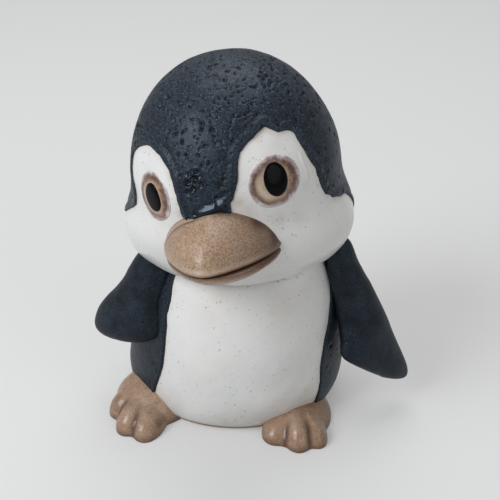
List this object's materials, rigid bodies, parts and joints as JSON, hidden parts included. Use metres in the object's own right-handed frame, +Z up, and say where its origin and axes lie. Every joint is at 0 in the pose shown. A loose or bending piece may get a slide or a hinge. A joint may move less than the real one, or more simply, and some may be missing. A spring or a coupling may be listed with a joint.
{
  "type": "penguin figurine",
  "caption": "Standing penguin ornament in glazed stoneware: a domed hooded head with pale eye patches and a broad beak, on a hollow pear-shaped body with side flippers and webbed feet",
  "frame": {"origin": "middle of the flat base, on the surface the figurine stands on", "axes": "+X to the bird's left, -Y the way it faces, +Z up"},
  "size_m": [0.0674, 0.059, 0.0785],
  "materials": {
    "clay": "unglazed stoneware",
    "dark_glaze": "matt, pitted charcoal glaze",
    "white_glaze": "soft gloss, lightly specked",
    "beak_glaze": "soft gloss with brown specks",
    "eye_ring_glaze": "soft gloss with a brown rim",
    "pupil_glaze": "gloss",
    "flipper_glaze": "matt charcoal glaze",
    "foot_glaze": "gloss with brown wash in the grooves"
  },
  "bodies": {
    "root": {"body_shell": "clay", "head_shell": "clay", "back_coat": "dark_glaze", "hood_coat": "dark_glaze", "belly_coat": "white_glaze", "face_coat": "white_glaze", "upper_beak": "beak_glaze", "lower_beak": "beak_glaze", "left_iris": "eye_ring_glaze", "right_iris": "eye_ring_glaze", "left_pupil": "pupil_glaze", "right_pupil": "pupil_glaze", "left_flipper": "flipper_glaze", "right_flipper": "flipper_glaze", "tail": "flipper_glaze", "left_foot": "foot_glaze", "right_foot": "foot_glaze"}
  },
  "joints": []
}
